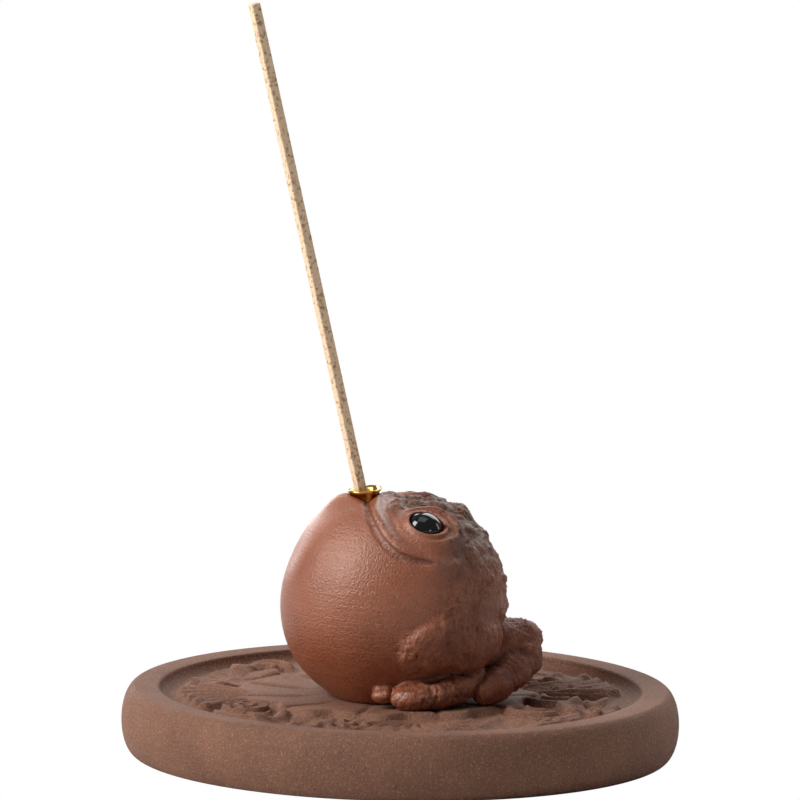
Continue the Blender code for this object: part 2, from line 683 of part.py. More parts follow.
def main():
    clear_scene()
    group = make_collection("toad_incense_burner")
    guides = make_collection("guides")
    build_dish(group)
    toad = build_toad(group, guides)
    held = [toad, *build_eyes(group), build_cup(group), build_stick(group)]
    cutters = [piece for piece in guides.objects]
    seat_on_dish(held + cutters, group)
    bpy.context.view_layer.update()


main()
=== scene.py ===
# Toad incense burner: a red-brown clay toad with its mouth to the sky, on a carved stoneware dish.
# Lengths in the dictionaries are millimetres; meshes are put into metres when they are made.
import math

import bpy
import numpy as np
from mathutils import Matrix, Vector


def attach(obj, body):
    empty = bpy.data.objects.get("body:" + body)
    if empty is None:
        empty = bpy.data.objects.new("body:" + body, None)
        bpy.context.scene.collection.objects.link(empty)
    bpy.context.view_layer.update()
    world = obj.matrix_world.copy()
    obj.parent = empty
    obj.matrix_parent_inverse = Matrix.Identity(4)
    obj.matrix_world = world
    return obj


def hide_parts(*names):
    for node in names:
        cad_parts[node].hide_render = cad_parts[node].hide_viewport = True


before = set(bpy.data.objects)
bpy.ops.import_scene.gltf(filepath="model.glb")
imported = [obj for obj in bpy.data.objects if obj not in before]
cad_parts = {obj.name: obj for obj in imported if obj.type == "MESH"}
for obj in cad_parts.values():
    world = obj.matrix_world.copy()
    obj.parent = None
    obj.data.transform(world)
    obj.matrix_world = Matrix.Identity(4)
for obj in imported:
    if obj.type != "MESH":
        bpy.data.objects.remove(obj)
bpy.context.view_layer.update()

millimetre = 0.001


# Plain tools for arrays, meshes and materials

def smoothStep(low, high, value):
    # 0 below low, 1 above high, and an S curve between them
    share = np.clip((value - low) / (high - low), 0, 1)
    return share * share * (3.0 - 2 * share)


def fadeOut(low, high, value):
    # 1 below low and 0 above high
    return 1 - smoothStep(low, high, value)


def smoothUnion(first, second, blend):
    # the smaller of two distances, rounded over where they differ by less than blend
    share = np.clip(0.5 + 0.5 * (second - first) / blend, 0, 1)
    return second * (1 - share) + first * share - blend * share * (1 - share)


def smoothCut(first, second, blend):
    # what is left of the first solid when the second is taken out of it
    return -smoothUnion(-first, second, blend)


def bell(value, width):
    # 1 at zero, falling off smoothly to both sides over the width
    return np.exp(-((value / width) ** 2))


def ridge(distance, shape):
    # a rounded ridge or furrow; its shape is the distance where it lies, its width and its height
    place, width, height = shape
    return height * bell(distance - place, width)


def lengths(vectors):
    return np.linalg.norm(vectors, axis=1)


def mirrorLeft(points):
    # both sides of the toad folded onto its left, which lies at -Y
    folded = points.copy()
    folded[:, 1] = -np.abs(folded[:, 1])
    return folded


def cellNumber(cell, seed):
    # a repeatable number from 0 to 1 for each whole-number cell
    mixed = cell[:, 0] * 73856093 ^ cell[:, 1] * 19349663 ^ cell[:, 2] * 83492791 ^ (seed * 26544357)
    mixed = (mixed ^ (mixed >> 13)) * 1274126177 & 0xFFFFFFFF
    mixed = (mixed ^ (mixed >> 15)) * 461845907 & 0xFFFFFFFF
    return ((mixed ^ (mixed >> 16)) & 0xFFFFFF) / float(0x1000000)


def softNoise(points, size, seed):
    # value noise from -1 to 1: a random value at each corner of a grid, blended inside each cell
    scaled = points / size
    cell = np.floor(scaled).astype(np.int64)
    part = scaled - cell
    part = part * part * (3.0 - 2 * part)
    total = np.zeros(len(points))
    for corner in range(8):
        step = np.array((corner & 1, corner >> 1 & 1, corner >> 2 & 1))
        weight = np.prod(np.where(step, part, 1 - part), axis=1)
        total += weight * cellNumber(cell + step, seed)
    return total * 2.0 - 1.0


def nearestSeeds(points, size, seed):
    # distance to the nearest and second nearest of seeds scattered one to a cell, and the seed's number
    spread = 0.8
    scaled = points / size
    cell = np.floor(scaled).astype(np.int64)
    nearest = np.full(len(points), 9.0)
    second = np.full(len(points), 9.0)
    number = np.zeros(len(points))
    for shift in np.ndindex(3, 3, 3):
        other = cell + np.array(shift) - 1
        place = np.stack([cellNumber(other, seed + k) for k in range(3)], axis=1)
        gap = lengths(other + 0.5 + (place - 0.5) * spread - scaled)
        closer = gap < nearest
        second = np.where(closer, nearest, np.minimum(second, gap))
        number = np.where(closer, cellNumber(other, seed + 7), number)
        nearest = np.where(closer, gap, nearest)
    return nearest * size, second * size, number


def addObject(name, data):
    thing = bpy.data.objects.new(name, data)
    bpy.context.scene.collection.objects.link(thing)
    return thing


def makePiece(name, points, faces, material, nodeName):
    # points are in metres in the row frame; the piece rides on the one body and stands for its node
    mesh = bpy.data.meshes.new(name)
    mesh.vertices.add(len(points))
    mesh.vertices.foreach_set("co", np.asarray(points, dtype=np.float32).ravel())
    counts = np.array([len(face) for face in faces])
    loops = np.concatenate(faces)
    mesh.loops.add(len(loops))
    mesh.loops.foreach_set("vertex_index", loops.astype(np.int32))
    mesh.polygons.add(len(counts))
    mesh.polygons.foreach_set("loop_start", (np.cumsum(counts) - counts).astype(np.int32))
    mesh.polygons.foreach_set("loop_total", counts.astype(np.int32))
    mesh.update(calc_edges=True)
    mesh.validate()
    mesh.shade_smooth()
    piece = addObject(name, mesh)
    mesh.materials.append(material)
    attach(piece, "root")
    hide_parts(nodeName)
    return piece


def addAttribute(piece, name, values):
    layer = piece.data.attributes.new(name, "FLOAT", "POINT")
    layer.data.foreach_set("value", np.asarray(values, dtype=np.float32))


def gridFaces(rows, columns):
    # quads of a grid whose columns close into a ring, with a point at each end in place of a row
    row = np.arange(rows - 1)[:, None] * columns
    column = np.arange(columns)[None, :]
    after = (column + 1) % columns
    corners = [row + column, row + after, row + columns + after, row + columns + column]
    quads = np.stack(corners, axis=-1).reshape(-1, 4)
    first, last = rows * columns, rows * columns + 1
    ring = np.arange(columns)
    top = np.stack([np.full(columns, first), (ring + 1) % columns, ring], axis=1)
    base = (rows - 1) * columns
    bottom = np.stack([np.full(columns, last), base + ring, base + (ring + 1) % columns], axis=1)
    return [list(face) for part in (top, quads, bottom) for face in part]


def ringAngles(columns):
    return np.arange(columns) * 2 * math.pi / columns


def turned(radius, height, columns):
    # each (radius, height) of the profile is carried once round Z
    angle = ringAngles(columns)
    ring = np.stack([np.cos(angle), np.sin(angle)], axis=1)
    body = np.empty((len(radius), columns, 3))
    body[:, :, :2] = np.asarray(radius)[:, None, None] * ring[None]
    body[:, :, 2] = np.asarray(height)[:, None]
    return body


def joinSections(*sections):
    # a profile's radii and heights, from sections that are each some radii and some heights
    return [np.concatenate(parts) for parts in zip(*sections)]


def withEnds(points, first, last):
    # the rows' points, and after them one on the axis for each end
    return np.concatenate([points.reshape(-1, 3), [[0.0, 0.0, first]], [[0.0, 0.0, last]]])


def moved(points, matrix):
    matrix = np.array(matrix)
    return points @ matrix[:3, :3].T + matrix[:3, 3]


def linear(hexColour):
    # sRGB hex to the linear colour that a shader takes
    values = [int(hexColour[i:i + 2], 16) / 255.0 for i in (1, 3, 5)]
    return [v / 12.92 if v <= 0.04045 else ((v + 0.055) / 1.055) ** 2.4 for v in values] + [1.0]


def addNode(tree, kind, inputs=None, **settings):
    # one shader node with its settings; an input goes by its name or its number, and is a value or
    # another node's output
    node = tree.nodes.new("ShaderNode" + kind)
    for name, value in settings.items():
        setattr(node, name, value)
    for name, value in (inputs or {}).items():
        if isinstance(value, bpy.types.NodeSocket):
            tree.links.new(value, node.inputs[name])
        else:
            node.inputs[name].default_value = value
    return node


def newMaterial(name):
    material = bpy.data.materials.new(name)
    material.use_nodes = True
    tree = material.node_tree
    return material, tree, tree.nodes["Principled BSDF"]


def setRamp(ramp, *stops):
    # a colour ramp between two stops, each a place and an sRGB hex
    elements = ramp.color_ramp.elements
    for element, (spot, colour) in zip(elements, stops):
        element.position = spot
        element.color = linear(colour)


def setShader(shader, **values):
    for name, value in values.items():
        shader.inputs[name.replace("_", " ")].default_value = value


# The toad's own frame: X points to its back, its left side is at -Y, and Z=0 is its flat base

toadPlace = {
    "x": -1.5,              # middle of the body from the middle of the dish
    "turn": 6.0,            # degrees that it looks towards the camera's side
    "base": 12.1,           # height of its base over the table
    "radius": 22.2,
    "centre": 19.5,         # height of the body's middle over its base
}

# Swells of the body: azimuth from the front, elevation, height and spread in degrees
bodySwells = {
    "throat": (0, -33, 1, 30),
    "seat": (55, -60, 1.3, 17),
    "chinHollow": (0, 23, -0.75, 13),
    "lowerLip": (0, 60, 1.2, 9.5),
    "crown": (142, 80, -3.2, 21),
    "nape": (180, 38, -0.75, 22),
    "side": (90, 0, -0.7, 26),
    "flank": (134, -20, 1.2, 19),
    "cheek": (112, 30, 0.7, 14),
    "rump": (180, -8, -0.3, 26),
}

mouth = {
    # the line from the cup to the corner, as azimuths and elevations
    "line": ((0, 75), (30, 70.5), (50, 62.5), (65, 50.5), (73, 42), (83, 33.3), (90.3, 29.6), (106, 26)),
    "lipRise": 1.15, "lipWidth": 1.5, "depth": 1.5, "width": 0.58, "notch": 1.9,
    # shares of the line over which the groove and the hollow fade
    "fade": (0.8, 1.06),
    "hollowFade": (0.4, 0.8),
    # ridges: distance from the line or its corner, width and height
    "snoutHollow": (3.7, 0.8, -0.65),
    "cornerLump": (0, 1.5, 0.55),
    # a band along the mouth line that paints shade into the groove's colour, not its form: distance, width
    # and height
    "paintedShade": (0, 0.5, 0.28),
}

eye = {
    "azimuth": 109.5, "elevation": 49.8, "roll": 8, "length": 7.7, "height": 6.8, "depth": 7.4, "sunk": 2,
    "openLength": 6.7, "openHeight": 5.9,
    # ridges round the opening: distance from its edge, width and height
    "lid": (0.55, 0.5, 0.8),
    "furrow": (1.6, 0.42, -0.5),
    "fold": (2.3, 0.8, 1),
    "hollow": (5.2, 1.1, -0.45),
    "foldShift": (0.7, 0.5),    # the fold's ring lies farther back and higher than the opening
    "foldLow": 0.1, "foldHigh": 1.45,
    "overTurn": 1.25,           # radians that the folds' highest side is turned back
}

# Rounded masses on the body: azimuth, elevation, lift of the middle over the ball, half length,
# half height and half thickness, and the turn of the length from level
masses = {
    "arm": (108, -20, -2.45, 7.8, 6.5, 4.1, 34),
    "haunch": (135, -20, -2, 7.8, 6.2, 4.9, 8),
}

limbs = {
    # spots along a limb, each with the limb's radius there
    "foot": ((-2.4, -17.6, 2.9, 1.3), (0.4, -18.9, 3.4, 1.6), (2.5, -19.2, 2.6, 2.5), (7, -18.6, 2.8, 2.6),
             (11.2, -16.6, 3.8, 2.6), (14.6, -13.4, 5.8, 2.5)),
    "shin": ((24.6, -5.2, 10.2, 3.8), (24.7, -7, 8.6, 3.7), (22.2, -10.2, 6.2, 3.4), (19, -13.6, 4.2, 3),
             (16.6, -15.7, 2.9, 2.3)),
    # lumps, each with its middle and half sizes
    "bigToe": ((1.7, -20.3, 2.45), (4.3, 2.7, 2.5)),
    "toe": ((-3.6, -16.5, 2.5), (2.4, 2.2, 1.5)),
    "thigh": ((21.2, -4.4, 9.8), (6.9, 6, 6)),
    "knee": ((25.2, -4.4, 12), (3.7, 3.9, 3.4)),
}

# How softly one form runs into the next, in millimetres
blends = {
    "wart": 0.9, "haunch": 0.6, "arm": 0.6, "foot": 0.8, "bigToe": 0.4, "toe": 0.7, "feet": 0.35,
    "knee": 1, "thigh": 0.5, "shin": 1, "leg": 0.3, "socket": 0.15, "notch": 0.5, "cup": 0.12,
}

# What the skin keeps clear of the pieces set in it
clearance = {"eye": 0.12, "cup": 0.2, "lip": 0.15}

# Large rounded warts on the crown and the back: azimuth, elevation and radius
largeWarts = (
    (96, 79, 2.4), (143, 74, 2.5), (163, 63, 2.8), (169, 51, 2.9), (150, 42, 1.6),
    (138, 30, 1.3), (160, 28, 1.3), (172, 36, 1.4), (146, 14, 1.1), (166, 12, 1.2),
    (152, -4, 1), (174, -4, 1.1), (118, 74, 1.7), (88, 66, 1.5),
)

cup = {
    "ahead": 6.2, "height": 40.6, "lean": 6.0, "depth": 9.0, "wall": 0.6, "flare": 0.75, "lip": 0.5,
    "proud": 0.5,
}

stick = {"side": 2.0, "length": 108.5, "lean": 13.1, "roll": 23.5, "play": 0.35}

ballRadius = toadPlace["radius"]
ballCentre = (0.0, 0.0, toadPlace["centre"])


def direction(azimuth, elevation):
    # unit vector in the toad's frame: azimuth 0 is ahead and 90 is its left side
    turn, lift = math.radians(azimuth), math.radians(elevation)
    return np.array((-math.cos(lift) * math.cos(turn), -math.cos(lift) * math.sin(turn), math.sin(lift)))


def toadFrame():
    # the turn and the place of the toad's frame in the row frame
    turn = math.radians(toadPlace["turn"])
    spin = np.array(((math.cos(turn), -math.sin(turn), 0), (math.sin(turn), math.cos(turn), 0), (0, 0, 1)))
    return spin, (toadPlace["x"], 0.0, toadPlace["base"])


def toWorld(points):
    # from the toad's frame in millimetres to the row frame in metres
    spin, place = toadFrame()
    return (points @ spin.T + place) * millimetre


def fromWorld(points):
    spin, place = toadFrame()
    return (points / millimetre - place) @ spin


def eyeAxes():
    # unit vectors along the left eye, up over it and out of it
    out = direction(eye["azimuth"], eye["elevation"])
    along = np.array((1.0, 0.0, 0.0)) - out * out[0]
    along /= np.linalg.norm(along)
    up = -np.cross(along, out)
    roll = math.radians(eye["roll"])
    return along * math.cos(roll) - up * math.sin(roll), up * math.cos(roll) + along * math.sin(roll), out


def mouthKnots():
    # the mouth line as a smooth curve through its spots
    spots = np.array(mouth["line"])
    spots = np.concatenate([[2 * spots[0] - spots[1]], spots, [2 * spots[-1] - spots[-2]]])
    curve = []
    for p, q, r, t in zip(spots[:-3], spots[1:-2], spots[2:-1], spots[3:]):
        for share in np.arange(8) / 8.0:
            bend = (2 * p - 5 * q + 4 * r - t) * share ** 2 + (3 * q - p - 3 * r + t) * share ** 3
            curve.append(0.5 * (2 * q + (r - p) * share + bend))
    return np.array([direction(*spot) for spot in curve + [spots[-2]]]) * ballRadius


mouthCurve = mouthKnots()


def mouthDistance(rays):
    # distance over the skin to the mouth line, above zero on the upper lip's side and below on the
    # throat's, and the share of the line passed from the cup to the corner
    away = np.full(len(rays), 1000.0)
    along = np.zeros(len(rays))
    close = rays @ direction(70.0, 52.0) > 0.45
    points = rays[close] * ballRadius
    nearest, side, share = np.full(len(points), 1000.0), np.ones(len(points)), np.zeros(len(points))
    for step, (start, end) in enumerate(zip(mouthCurve[:-1], mouthCurve[1:])):
        run = end - start
        part = np.clip((points - start) @ run / (run @ run), 0, 1)
        offset = points - (start + part[:, None] * run)
        length = np.sqrt((offset ** 2).sum(axis=1))
        closer = length < nearest
        nearest = np.where(closer, length, nearest)
        side = np.where(closer, np.sign(offset @ np.cross(start, run)), side)
        share = np.where(closer, step + part, share)
    away[close] = nearest * side
    along[close] = share / (len(mouthCurve) - 1)
    return away, along


def pastOpening(wide, tall):
    # distance past the edge of the eye's opening
    ring = np.hypot(wide / (eye["openLength"] / 2), tall / (eye["openHeight"] / 2))
    return (ring - 1.0) * (eye["openLength"] + eye["openHeight"]) / 4


def eyelidHeight(rays):
    # rings of clay round the eye: a thin lid on the bead, a furrow, and over and behind it a thick
    # uneven fold with a hollow beyond
    along, up, out = eyeAxes()
    wide, tall = rays @ along * ballRadius, rays @ up * ballRadius
    over = 0.5 + 0.5 * np.sin(np.arctan2(tall, wide) + eye["overTurn"])
    past = pastOpening(wide, tall)
    height = ridge(past, eye["lid"]) + ridge(past, eye["furrow"]) * (0.3 + 0.7 * over)
    past = pastOpening(wide - eye["foldShift"][0], tall - eye["foldShift"][1])
    uneven = 1 + 0.35 * softNoise(rays * ballRadius, 3.2, 7)
    height += (eye["foldLow"] + eye["foldHigh"] * over) * uneven * ridge(past, eye["fold"])
    height += ridge(past, eye["hollow"]) * over
    return np.where(rays @ out > 0.5, height, 0.0)


def bodyRadius(rays):
    # a ball whose radius is raised or lowered by bell-shaped swells, the mouth line and the eyelids
    mirrored = mirrorLeft(rays)
    radius = np.full(len(rays), ballRadius)
    for azimuth, elevation, height, spread in bodySwells.values():
        cosine = np.clip(mirrored @ direction(azimuth, elevation), -1.0, 1.0)
        radius += height * bell(np.degrees(np.arccos(cosine)), spread)
    away, along = mouthDistance(mirrored)
    fade = fadeOut(*mouth["fade"], along)
    groove = bell(away, mouth["width"] * (0.5 + 0.5 * fade))
    radius -= mouth["depth"] * groove * (0.25 + 0.75 * fade)
    lip = smoothStep(-0.35, 0.75, away) * bell(np.maximum(away - 0.9, 0.0), mouth["lipWidth"])
    radius += mouth["lipRise"] * lip * (0.15 + 0.85 * fade)
    radius += ridge(away, mouth["snoutHollow"]) * fadeOut(*mouth["hollowFade"], along)
    corner = lengths(mirrored * ballRadius - mouthCurve[-1])
    radius += ridge(corner, mouth["cornerLump"])
    radius += eyelidHeight(mirrored)
    # near its lowest point the ball is drawn down to the flat base
    low = np.clip(-rays[:, 2], 0, 1)
    floorRadius = ballCentre[2] / np.maximum(low, 0.2)
    blend = np.clip((low - 0.55) / 0.35, 0, 1)
    return np.minimum(radius, radius + (floorRadius * 1.02 - radius) * blend)


def limbDistance(points, name):
    # distance to a chain of tapering rods
    spots, total = limbs[name], None
    for start, end in zip(spots[:-1], spots[1:]):
        start, end = np.array(start), np.array(end)
        run = end[:3] - start[:3]
        share = np.clip((points - start[:3]) @ run / (run @ run), 0, 1)
        gap = lengths(points - (start[:3] + share[:, None] * run))
        gap -= start[3] + (end[3] - start[3]) * share
        total = gap if total is None else smoothUnion(total, gap, blends[name])
    return total


def lumpDistance(points, centre, half):
    # distance to an ellipsoid with these half sizes
    shape = points - np.array(centre)
    size = lengths(shape / half)
    slope = lengths(shape / np.square(half))
    return size * (size - 1.0) / np.maximum(slope, 1e-6)


def massDistance(points, azimuth, elevation, lift, length, height, thick, roll):
    # distance to an ellipsoid set on the body, facing outwards
    out = direction(azimuth, elevation)
    level = np.array((-out[1], out[0], 0.0)) / math.hypot(out[0], out[1])
    up = np.cross(out, level)
    turn = math.radians(roll)
    alongAxis = level * math.cos(turn) + up * math.sin(turn)
    upAxis = up * math.cos(turn) - level * math.sin(turn)
    axes = np.array((alongAxis, upAxis, out))
    centre = out * (ballRadius + lift) + ballCentre
    return lumpDistance((points - centre) @ axes.T, (0.0, 0.0, 0.0), (length, height, thick))


def mouthFrame():
    # the cup's frame: its origin is on the lip's plane, and Z points out of the mouth
    lean = Matrix.Rotation(-math.radians(cup["lean"]), 4, "Y")
    return Matrix.Translation((-cup["ahead"], 0.0, cup["height"])) @ lean


def cupSizes():
    # inner and outer radius; the bore clears the leaning stick's diagonal
    lean = math.radians(stick["lean"] - cup["lean"])
    bore = stick["side"] * math.sqrt(2.0) / math.cos(lean) + cup["depth"] * math.tan(lean) / 2
    bore += 2 * stick["play"]
    return bore / 2, bore / 2 + cup["wall"]


def eyePlace():
    # the left bead's middle, and its axes as rows
    axes = np.array(eyeAxes())
    radius = float(bodyRadius(axes[2][None, :])[0])
    return axes[2] * (radius - eye["sunk"]) + ballCentre, axes


def eyeLocal(points):
    # points measured along the eye's own axes, from its middle
    centre, axes = eyePlace()
    return (points - centre) @ axes.T


def wartPlaces():
    # middles of the large warts, which stand out of the skin by rather more than a third
    rays = np.array([direction(azimuth, elevation) for azimuth, elevation, size in largeWarts])
    sink = 0.62 * np.array([wart[2] for wart in largeWarts])
    return rays * (bodyRadius(rays) - sink)[:, None] + ballCentre


def bodyField(points, mirrored):
    # distance to the ball with its swells, large warts, arms, haunches and feet
    fromCentre = points - ballCentre
    reach = np.maximum(lengths(fromCentre), 1e-6)
    field = reach - bodyRadius(fromCentre / reach[:, None])
    for spot, (azimuth, elevation, size) in zip(wartPlaces(), largeWarts):
        close = (np.abs(mirrored - spot) < size + 1.5).all(axis=1)
        gap = np.sqrt(((mirrored[close] - spot) ** 2).sum(axis=1)) - size
        field[close] = smoothUnion(field[close], gap, blends["wart"])
    for name in ("haunch", "arm"):
        field = smoothUnion(field, massDistance(mirrored, *masses[name]), blends[name])
    foot = limbDistance(mirrored, "foot")
    for name in ("bigToe", "toe"):
        foot = smoothUnion(foot, lumpDistance(mirrored, *limbs[name]), blends[name])
    return smoothUnion(field, foot, blends["feet"])


def socketField(mirrored):
    # distance to the hollows that hold the beads
    half = np.array((eye["length"], eye["height"], eye["depth"])) / 2 + clearance["eye"]
    return (lengths(eyeLocal(mirrored) / half) - 1.0) * half.min()


def mouthFields(points):
    # distances to the notch where the lips part, and to the hole that holds the cup
    local = moved(points, mouthFrame().inverted())
    outer = cupSizes()[1]
    lipRadius = outer + cup["flare"] + clearance["lip"]
    widening = np.clip((local[:, 2] + cup["flare"]) / cup["flare"], 0, 1)
    wall = outer + clearance["cup"] + widening * (lipRadius - outer - clearance["cup"])
    bottom = -cup["depth"] - cup["wall"] - clearance["cup"]
    hole = np.maximum(lengths(local[:, :2]) - wall, bottom - local[:, 2])
    ahead = np.abs(local[:, 0]) / (2 * (outer + cup["flare"]))
    notch = (ahead - (local[:, 2] + mouth["notch"]) / (2 * mouth["notch"])) * 2.4
    return notch, hole


def toadField(points):
    # distance to the toad's skin, below zero inside
    mirrored = mirrorLeft(points)
    field = bodyField(points, mirrored)
    thigh, knee = [lumpDistance(points, *limbs[name]) for name in ("thigh", "knee")]
    field = smoothUnion(field, smoothUnion(thigh, knee, blends["knee"]), blends["thigh"])
    field = smoothUnion(field, limbDistance(points, "shin"), blends["leg"])
    notch, hole = mouthFields(points)
    field = smoothCut(field, socketField(mirrored), blends["socket"])
    field = smoothCut(field, notch, blends["notch"])
    field = smoothCut(field, hole, blends["cup"])
    return np.maximum(field, -points[:, 2])


def fieldAndSlope(points, reach=0.05):
    # the field and its slope, by a small step along each axis
    field = toadField(points)
    slope = np.empty_like(points)
    for axis in range(3):
        step = np.zeros(3)
        step[axis] = reach
        slope[:, axis] = (toadField(points + step) - field) / reach
    return field, slope


def roughShare(points):
    # 1 on the warty back, head and limbs, 0 on the smooth throat, belly and lips
    mirrored = mirrorLeft(points)
    ray = mirrored - ballCentre
    ray /= lengths(ray)[:, None]
    azimuth = np.degrees(np.arctan2(-ray[:, 1], -ray[:, 0]))
    elevation = np.degrees(np.arcsin(np.clip(ray[:, 2], -1.0, 1.0)))
    # the edge between belly and flank sways with height and is a little uneven
    edge = 104.0 + 10.0 * np.sin(np.radians(elevation * 2.0)) + 5.0 * softNoise(points, 6.0, 3)
    share = smoothStep(-9, 13, azimuth - edge)
    away = mouthDistance(ray)[0]
    crown = smoothStep(3.6, 5, away) * smoothStep(46, 60, elevation)
    share = np.maximum(share, 0.85 * crown)
    half = (eye["length"] / 2 + 2.4, eye["height"] / 2 + 2.4, 9.0)
    lid = lengths(eyeLocal(mirrored) / half)
    share *= smoothStep(0.85, 1.15, lid)
    arm = massDistance(mirrored, *masses["arm"])
    share = np.maximum(share, 0.85 * fadeOut(0, 1.2, arm))
    shin = limbDistance(points, "shin")
    leg = np.minimum(shin, lumpDistance(points, *limbs["thigh"]))
    share = np.maximum(share, 0.9 * fadeOut(0, 0.8, leg))
    # the lips round the cup are smooth
    fromCup = lengths(points - (-cup["ahead"], 0.0, cup["height"]))
    return share * smoothStep(5, 7.5, fromCup)


skin = {
    "cell": 0.345,              # spacing of the skin's points
    "turns": 7,                 # times that the points are carried towards the skin
    "evenTurns": (2, 3, 4, 5),  # turns that also even them out
    "step": 0.7,                # farthest that a point is carried in one turn
    "even": 0.6, "wartSpacing": 2.6, "wartRise": 0.22, "pitDepth": 0.38,
    "foldSpacings": (1.9, 1.0),
    "foldWidth": 0.2, "foldRise": 0.23, "shinWave": 1.8, "shinFolds": 0.19, "footSpacing": 2.7,
    "footFolds": 0.11,
}


def backRelief(points, bend):
    # warts and pits as rounded dots of two sizes, and fine raised folds like a net drawn out upwards
    rise = np.zeros(len(points))
    for spacing, height, seed in ((skin["wartSpacing"], 1.0, 29), (skin["wartSpacing"] * 0.5, 0.5, 47)):
        gap, second, number = nearestSeeds(points + 0.4 * bend, spacing, seed)
        size = spacing * (0.22 + 0.2 * number)
        dot = np.clip(1 - (gap / size) ** 2, 0, 1) ** 1.5
        rise += skin["wartRise"] * height * dot * np.where(number > 0.3, 1.0, 0.0)
        rise -= skin["pitDepth"] * height * dot * np.where(number < 0.3, 1.0, 0.0)
    for spacing, seed in zip(skin["foldSpacings"], (53, 59)):
        gap, second, number = nearestSeeds((points + 0.7 * bend) * (1.0, 1.0, 0.62), spacing, seed)
        fold = bell(second - gap, skin["foldWidth"])
        rise += skin["foldRise"] * fold * smoothStep(-0.5, 0.4, bend[:, 1])
    return rise + (0.14 * softNoise(points, 1.7, 61) + 0.06 * softNoise(points, 0.7, 67))


def shinRelief(points, bend):
    # uneven folds across the shin, fading towards its two ends
    start, end = np.array(limbs["shin"][1][:3]), np.array(limbs["shin"][-1][:3])
    along = (points - start) @ ((end - start) / np.linalg.norm(end - start))
    near = fadeOut(0, 0.6, limbDistance(points, "shin"))
    wave = np.sin(along * 2 * math.pi / skin["shinWave"] + 5.0 * bend[:, 0]) * (0.7 + 0.8 * bend[:, 1])
    fade = fadeOut(8.5, 11, along)
    return skin["shinFolds"] * wave * near * smoothStep(-1, 1.5, along) * fade


def footRelief(points, bend):
    # creases fanned over the big toe, and a few between soft cells
    mirrored = mirrorLeft(points)
    foot = limbDistance(mirrored, "foot")
    foot = np.minimum(foot, lumpDistance(mirrored, *limbs["bigToe"]))
    middle = np.array(limbs["bigToe"][0]) + (0.6, 0.0, 2.6)
    angle = np.arctan2(mirrored[:, 2] - middle[2], mirrored[:, 0] - middle[0])
    fan = 0.4 * np.sin(angle * 13.0 + 7.0 * bend[:, 2])
    gap, second, number = nearestSeeds(points + 0.8 * bend, skin["footSpacing"], 73)
    crease = bell(second - gap, 0.3)
    return skin["footFolds"] * (fan - 1.4 * crease) * fadeOut(0, 0.5, foot)


def skinRelief(points, share):
    # height of the skin's detail over the smooth form
    bend = np.stack([softNoise(points, 3.0, 91 + k) for k in range(3)], axis=1)
    rise = backRelief(points, bend) * share
    rise += shinRelief(points, bend)
    return rise + footRelief(points, bend)


def skinCells():
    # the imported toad's skin recut into even cells: points in the toad's frame and four-sided faces
    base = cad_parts["toad"].data.copy()
    shape = addObject("toadSkin", base)
    weld = shape.modifiers.new("Weld", "WELD")
    weld.merge_threshold = 0.00001
    cut = shape.modifiers.new("Cells", "REMESH")
    cut.mode = "VOXEL"
    cut.voxel_size = skin["cell"] * millimetre
    graph = bpy.context.evaluated_depsgraph_get()
    mesh = shape.evaluated_get(graph).to_mesh()
    points = np.empty(len(mesh.vertices) * 3, dtype=np.float32)
    mesh.vertices.foreach_get("co", points)
    faces = np.empty(len(mesh.polygons) * 4, dtype=np.int32)
    mesh.polygons.foreach_get("vertices", faces)
    points = fromWorld(points.reshape(-1, 3).astype(float))
    faces = faces.reshape(-1, 4)
    bpy.data.objects.remove(shape, do_unlink=True)
    bpy.data.meshes.remove(base)
    return points, faces


def carryToSkin(points, faces):
    # carries each point onto the field's zero, and evens the points out without leaving the skin
    edges = [faces[:, [corner, (corner + 1) % 4]] for corner in range(4)]
    ends = np.sort(np.concatenate(edges), axis=1).T
    near, far = ends.ravel(), ends[::-1].ravel()
    links = np.maximum(np.bincount(near, minlength=len(points)), 1)[:, None]
    for turn in range(skin["turns"]):
        field, slope = fieldAndSlope(points)
        steep = np.maximum((slope ** 2).sum(axis=1), 0.2)
        points -= slope * (np.clip(field, -skin["step"], skin["step"]) / steep)[:, None]
        if turn in skin["evenTurns"]:
            sums = [np.bincount(near, points[far, axis], len(points)) for axis in range(3)]
            normal = slope / np.sqrt(steep)[:, None]
            shift = np.stack(sums, axis=1) / links - points
            points += skin["even"] * (shift - normal * (shift * normal).sum(axis=1)[:, None])
    field, slope = fieldAndSlope(points, 0.15)
    return points, slope / np.maximum(lengths(slope), 1e-6)[:, None]


def makeToad(material):
    # the smooth form with its skin's detail; the material takes its rough share and its heights, less a
    # band along the mouth's groove that paints shade there
    points, faces = skinCells()
    points, normal = carryToSkin(points, faces)
    share = roughShare(points)
    rise = skinRelief(points, share)
    ray = mirrorLeft(points - ballCentre)
    away, along = mouthDistance(ray / lengths(ray)[:, None])
    # painted shade: a band along the mouth's groove, taken off the heights so that the clay is darker there
    paintedShade = ridge(away, mouth["paintedShade"]) * fadeOut(0.9, 1.05, along)
    points = points + normal * (rise * smoothStep(0.1, 1, points[:, 2]))[:, None]
    points[:, 2] = np.maximum(points[:, 2], 0.0)
    piece = makePiece("toad_skin", toWorld(points), faces, material, "toad")
    addAttribute(piece, "rough", share)
    addAttribute(piece, "rise", rise - paintedShade)


# Dish

dish = {
    "radius": 55.0, "height": 13.3, "bulge": 2.84, "rim": 4.6, "rimFall": 0.2, "cove": 2.4, "well": 2.4,
    "foot": 7.0, "recess": 3.0, "columns": 560,
}

